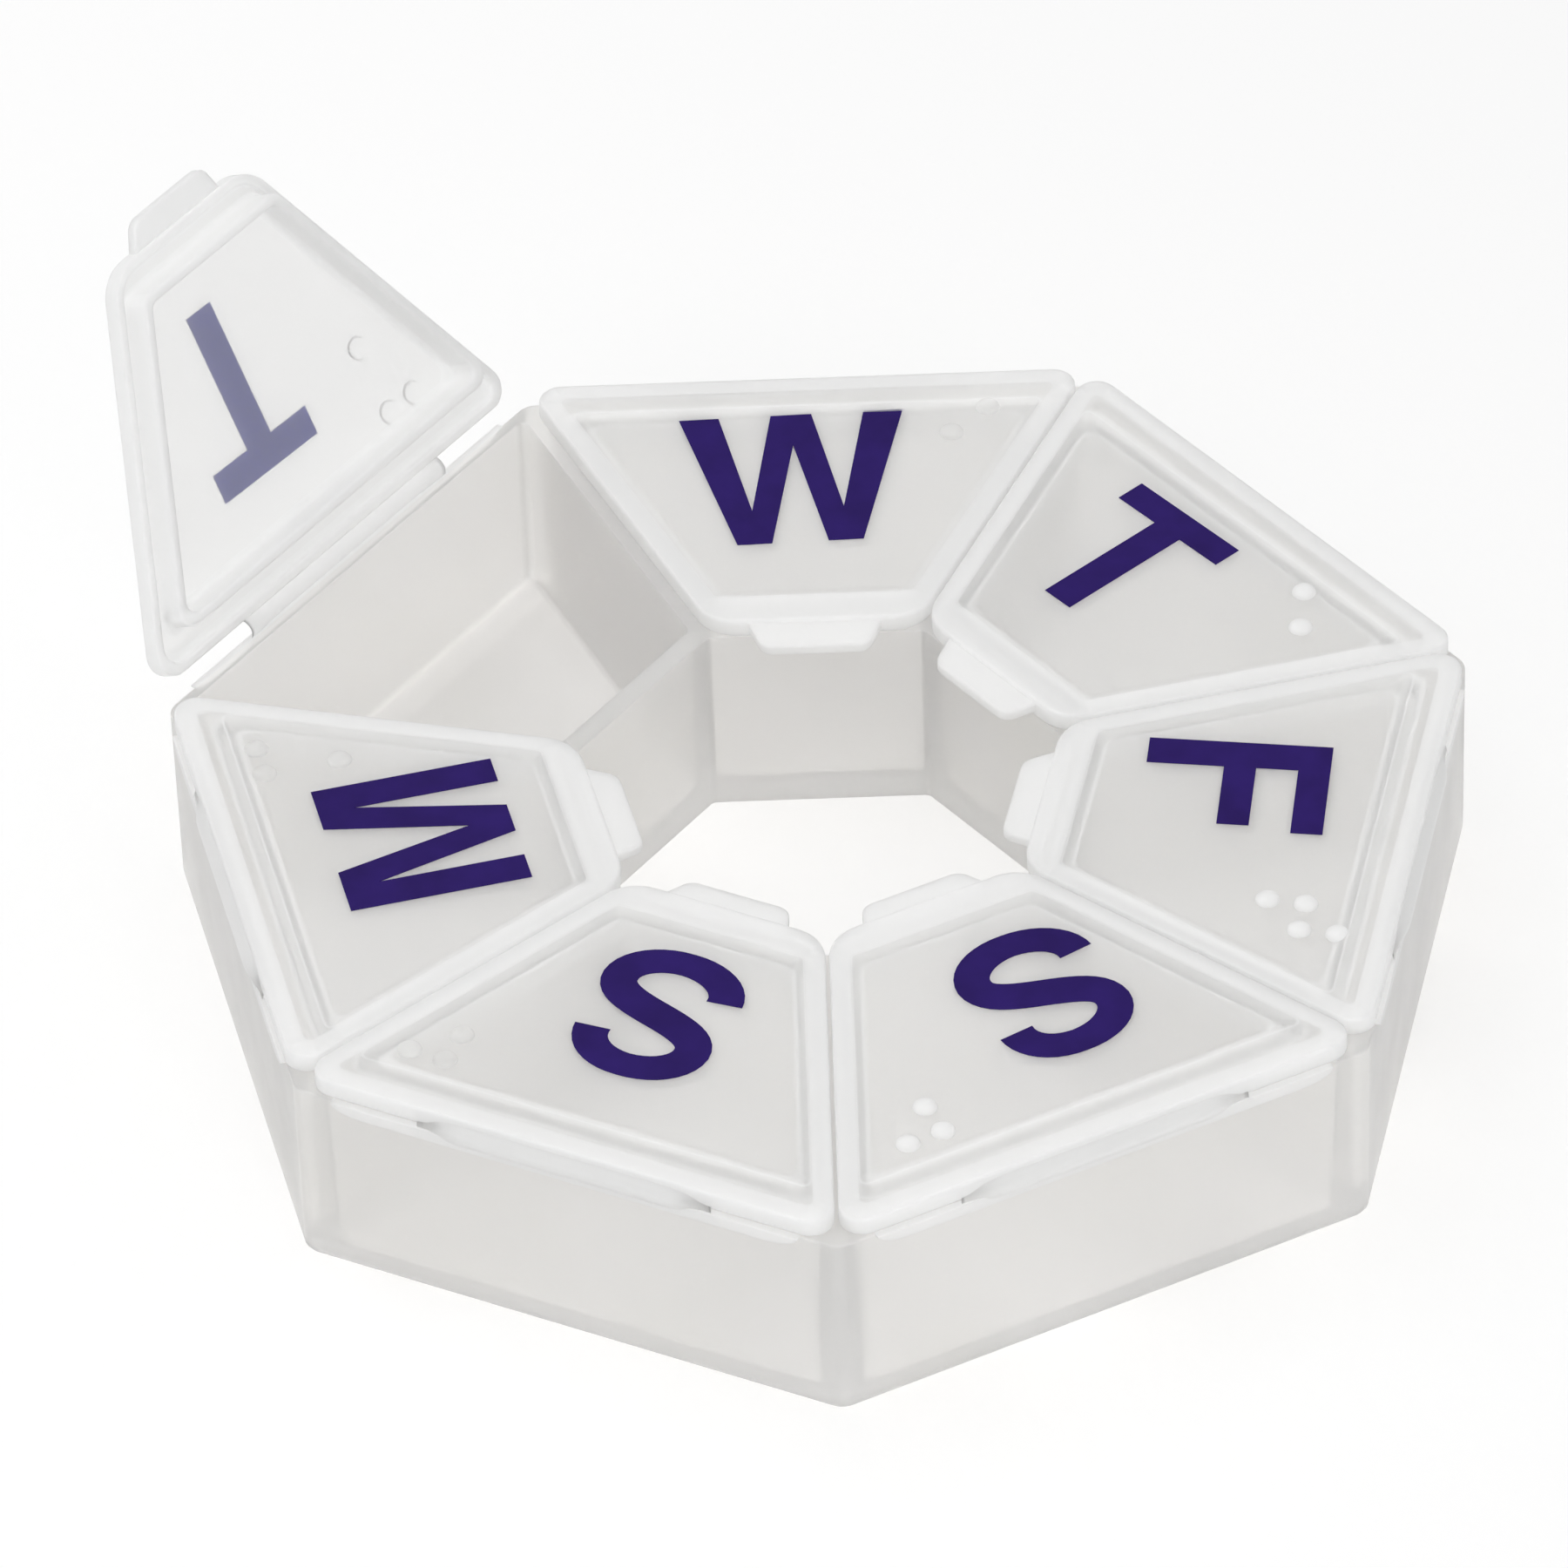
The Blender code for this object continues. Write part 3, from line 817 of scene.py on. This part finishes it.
def make_web(day, material):
    """The film hinge: a strip from the tray's lip to the lid's edge that thins out at both its ends."""
    opened = opened_at_rest(day)
    half = LID_OUTER * math.tan(HALF_SIDE) * FILM_LENGTH_SHARE
    steps = [step / CORNER_STEPS for step in range(CORNER_STEPS + 1)]
    # Places along the axis, as (share of the half length, fullness), from one end to the other
    right = [(1 - FILM_TAPER / half * (1 - step), 1 - eased(step)) for step in steps]
    columns = [(-place, fullness) for place, fullness in reversed(right)] + right
    bm = bmesh.new()
    rows = []
    for index in range(FILM_STEPS + 1):
        share = index / FILM_STEPS
        wide = half + FILM_FLARE * (2 * share - 1) ** 4
        outside = []
        inside = []
        for place, fullness in columns:
            bulge = FILM_END_SHARE + (1 - FILM_END_SHARE) * fullness
            before = film_point(opened, max(share - 1 / FILM_STEPS, 0), bulge)
            after = film_point(opened, min(share + 1 / FILM_STEPS, 1), bulge)
            across = (after - before).normalized().orthogonal() * fullness * FILM / 2
            middle = film_point(opened, share, bulge)
            for side, spots in ((1, outside), (-1, inside)):
                spot = middle + across * side
                spots.append((place * wide, spot.x, spot.y))
        loop = outside + inside[-2:0:-1]
        rows.append([bm.verts.new(spot) for spot in loop])
    for low, high in zip(rows, rows[1:]):
        for k in range(len(low)):
            bm.faces.new((low[k - 1], low[k], high[k], high[k - 1]))
    bm.faces.new(rows[0])
    bm.faces.new(rows[-1])
    bmesh.ops.recalc_face_normals(bm, faces=bm.faces)
    web = new_piece(f"web_{day}", bm)
    web.data.materials.append(material)
    place = hinge_place(day)
    web.data.transform(place)
    start, end = (place @ Vector((0, *film_point(opened, share, 1))) for share in (0, 1))
    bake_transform(web)
    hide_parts(f"hinge_{day}")


def stroke_outline(spine, widths):
    """The outline of a stroke along a curved spine, with its width at each point."""
    left = []
    right = []
    for index, point in enumerate(spine):
        before = spine[max(index - 1, 0)]
        after = spine[min(index + 1, len(spine) - 1)]
        side = (after - before).normalized().orthogonal() * widths[index] / 2
        left.append(tuple(point + side))
        right.append(tuple(point - side))
    return left + right[::-1]


def letter_t():
    """A plain T, as an outline round its middle."""
    half = LETTER_HEIGHT / 2
    arm = 6.4 * MM
    stem = STROKE / 2
    under = half - THIN_STROKE
    right = [(stem, -half), (stem, under), (arm, under), (arm, half)]
    return right + [(-x, y) for x, y in reversed(right)]


def letter_f():
    """A plain F with a shorter middle arm."""
    half = LETTER_HEIGHT / 2
    left = -5.35 * MM
    long_arm = 6.2 * MM
    short_arm = 5.5 * MM
    stem = left + STROKE
    middle = 0.15 * MM
    return [
        (left, -half),
        (stem, -half),
        (stem, middle - THIN_STROKE / 2),
        (short_arm, middle - THIN_STROKE / 2),
        (short_arm, middle + THIN_STROKE / 2),
        (stem, middle + THIN_STROKE / 2),
        (stem, half - THIN_STROKE),
        (long_arm, half - THIN_STROKE),
        (long_arm, half),
        (left, half),
    ]


def letter_m():
    """An M with upright stems and a deep middle."""
    half = LETTER_HEIGHT / 2
    side = 8.1 * MM
    stem_share = 0.94
    shoulder = 2.95 * MM
    foot = 1.75 * MM
    notch_share = 0.54
    counter_share = 0.61
    stem = side - STROKE * stem_share
    left = [(-side, -half), (-side, half), (-shoulder, half)]
    inner = [(foot, -half), (stem, half * counter_share), (stem, -half)]
    outline = left + [(0, -half * notch_share)] + [(-x, y) for x, y in reversed(left)]
    return outline + inner[::-1] + [(-x, y) for x, y in inner]


def letter_w():
    """A wide W, a little taller than the other letters."""
    half = 8.85 * MM
    top = 10.2 * MM
    arm = 3.6 * MM
    peak = 1.85 * MM
    peak_under_share = 0.52
    foot_outer = 5.7 * MM
    foot_inner = 2.55 * MM
    valley = 4.15 * MM
    valley_share = 0.48
    right = [
        (0, half * peak_under_share),
        (foot_inner, -half),
        (foot_outer, -half),
        (top, half),
        (top - arm, half),
        (valley, -half * valley_share),
        (peak, half),
    ]
    return right + [(-x, y) for x, y in reversed(right[1:])]


def letter_s():
    """A curved stroke with two bowls and level ends, thinner at its top and bottom."""
    bowl = 4.95 * MM
    overshoot = 0.1 * MM
    opening = 0.5 * MM
    reach_share = 0.56
    rise_share = 0.27
    lean_share = 0.12
    crest = LETTER_HEIGHT / 2 + overshoot - THIN_STROKE / 2
    end = crest / 2
    reach = bowl * reach_share
    rise = crest * rise_share
    lean = crest * lean_share
    # Each knot's place, the handles before and after it, and the stroke's width
    knots = [
        ((bowl - opening, end), None, (bowl - opening, end + rise), STROKE),
        ((0, crest), (reach, crest), (-reach, crest), THIN_STROKE),
        ((-bowl, end), (-bowl, end + rise), (-bowl, end - rise), STROKE),
        ((0, 0), (-reach, lean), (reach, -lean), STROKE),
        ((bowl, -end), (bowl, rise - end), (bowl, -end - rise), STROKE),
        ((0, -crest), (reach, -crest), (-reach, -crest), THIN_STROKE),
        ((-bowl, -end), (-bowl, -end - rise), None, STROKE),
    ]
    spine = []
    widths = []
    for (start, _, ahead, first), (stop, back, _, last) in zip(knots, knots[1:]):
        handles = [Vector((*spot, 0)) for spot in (start, ahead, back, stop)]
        run = interpolate_bezier(*handles, CORNER_STEPS + 1)
        for step in range(1 if spine else 0, CORNER_STEPS + 1):
            spine.append(run[step].xy)
            widths.append(first + (last - first) * step / CORNER_STEPS)
    return stroke_outline(spine, widths)


LETTERS = {"s": letter_s, "m": letter_m, "t": letter_t, "w": letter_w, "f": letter_f}


def make_initial(day, materials):
    """The day's initial, printed on the window with its top towards the hinge."""
    letter, along, outwards, turn = INITIALS[day]
    initial = loft(f"initial_{day}", [(0,), (2 * INK,)], LETTERS[letter])
    initial.data.shade_flat()
    for material in materials:
        initial.data.materials.append(material)
    for face in initial.data.polygons:
        # Faces that look down take the ink's lighter, bluer back copy, which is painted light.
        face.material_index = 1 if face.normal.z < INK_BACK_NORMAL else 0
    upright = Matrix.Rotation(math.pi + math.radians(turn), 4, "Z")
    spot = Matrix.Translation((along, -outwards, WINDOW_HEIGHT - INK))
    initial.data.transform(lid_place(day) @ spot @ upright)
    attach(initial, f"lid_{day}")


def make_floor():
    """A pale floor that keeps the shadow. The camera, gloss and clear plastic see it a little whiter."""
    bm = bmesh.new()
    bmesh.ops.create_grid(bm, x_segments=1, y_segments=1, size=FLOOR_SIZE)
    floor = new_piece("floor", bm)
    material = bpy.data.materials.new("floor")
    material.use_nodes = True
    nodes = material.node_tree.nodes
    links = material.node_tree.links
    shader = nodes["Principled BSDF"]
    shader.inputs["Base Color"].default_value = FLOOR_COLOUR
    shader.inputs["Roughness"].default_value = FLOOR_ROUGHNESS
    shader.inputs["Specular IOR Level"].default_value = 0
    path = nodes.new("ShaderNodeLightPath")
    camera_or_mirror = nodes.new("ShaderNodeMath")
    camera_or_mirror.operation = "MAXIMUM"
    seen = nodes.new("ShaderNodeMath")
    seen.operation = "MAXIMUM"
    strength = nodes.new("ShaderNodeMath")
    strength.operation = "MULTIPLY"
    strength.inputs[1].default_value = FLOOR_GLOW
    links.new(path.outputs["Is Camera Ray"], camera_or_mirror.inputs[0])
    links.new(path.outputs["Is Glossy Ray"], camera_or_mirror.inputs[1])
    links.new(camera_or_mirror.outputs["Value"], seen.inputs[0])
    links.new(path.outputs["Is Transmission Ray"], seen.inputs[1])
    links.new(seen.outputs["Value"], strength.inputs[0])
    glow = nodes.new("ShaderNodeEmission")
    links.new(strength.outputs["Value"], glow.inputs["Strength"])
    both = nodes.new("ShaderNodeAddShader")
    links.new(shader.outputs["BSDF"], both.inputs[0])
    links.new(glow.outputs["Emission"], both.inputs[1])
    links.new(both.outputs["Shader"], nodes["Material Output"].inputs["Surface"])
    floor.data.materials.append(material)


def make_world():
    """Soft light from all round, and plain white where the camera sees past the floor."""
    world = bpy.data.worlds.new("studio")
    bpy.context.scene.world = world
    world.use_nodes = True
    nodes = world.node_tree.nodes
    links = world.node_tree.links
    light = nodes["Background"]
    light.inputs["Color"].default_value = WHITE
    light.inputs["Strength"].default_value = WORLD_LIGHT
    seen = nodes.new("ShaderNodeBackground")
    seen.inputs["Strength"].default_value = 1
    seen.inputs["Color"].default_value = WHITE
    path = nodes.new("ShaderNodeLightPath")
    mix = nodes.new("ShaderNodeMixShader")
    links.new(path.outputs["Is Camera Ray"], mix.inputs["Fac"])
    links.new(light.outputs["Background"], mix.inputs[1])
    links.new(seen.outputs["Background"], mix.inputs[2])
    links.new(mix.outputs["Shader"], nodes["World Output"].inputs["Surface"])


def make_lamp(name, power, size, place, target):
    """A soft square lamp that faces the target."""
    lamp = bpy.data.lights.new(name, "AREA")
    lamp.energy = power
    lamp.size = size
    holder = bpy.data.objects.new(name, lamp)
    bpy.context.scene.collection.objects.link(holder)
    holder.location = place
    holder.rotation_euler = (Vector(target) - Vector(place)).to_track_quat("-Z", "Y").to_euler()


def make_camera():
    """The photograph's viewpoint, which looks at the top of the ring."""
    back = Vector((
        math.sin(VIEW_AZIMUTH) * math.cos(VIEW_ELEVATION),
        -math.cos(VIEW_AZIMUTH) * math.cos(VIEW_ELEVATION),
        math.sin(VIEW_ELEVATION),
    ))
    level = Vector((0, 0, 1)).cross(back).normalized()
    steep = back.cross(level)
    right = level * math.cos(VIEW_ROLL) + steep * math.sin(VIEW_ROLL)
    up = steep * math.cos(VIEW_ROLL) - level * math.sin(VIEW_ROLL)
    camera = bpy.data.cameras.new("camera")
    camera.lens = LENS
    camera.sensor_width = SENSOR
    camera.clip_start = VIEW_DISTANCE * CLIP_SHARE
    holder = bpy.data.objects.new("camera", camera)
    bpy.context.scene.collection.objects.link(holder)
    place = Matrix((right, up, back)).transposed().to_4x4()
    middle = CENTRE + Vector((0, 0, HEIGHT))
    place.translation = middle + back * VIEW_DISTANCE + right * VIEW_ASIDE + up * VIEW_UP
    holder.matrix_world = place
    bpy.context.scene.camera = holder


def main():
    """Dresses the part and sets the scene."""
    bpy.context.scene.view_settings.view_transform = "Standard"
    tray_material = tray_plastic()
    lid_material = lid_plastic()
    lid_materials = (lid_material, window_plastic(), dot_plastic())
    # Painted light: the hinge film's plastic is less clear than the lids' plastic, so that its outward
    # face shows brighter.
    painted_bright_film_material = film_plastic_painted_bright()
    inks = (front_ink(), back_ink_painted_light())
    make_tray(tray_material, lid_material)
    for day in DAYS:
        make_lid(day, lid_materials)
        make_web(day, painted_bright_film_material)
        make_initial(day, inks)
    make_floor()
    make_world()
    make_lamp("key", KEY_POWER, KEY_SIZE, KEY_PLACE, CENTRE)
    make_lamp("fill", FILL_POWER, FILL_SIZE, FILL_PLACE, CENTRE)
    make_camera()


main()
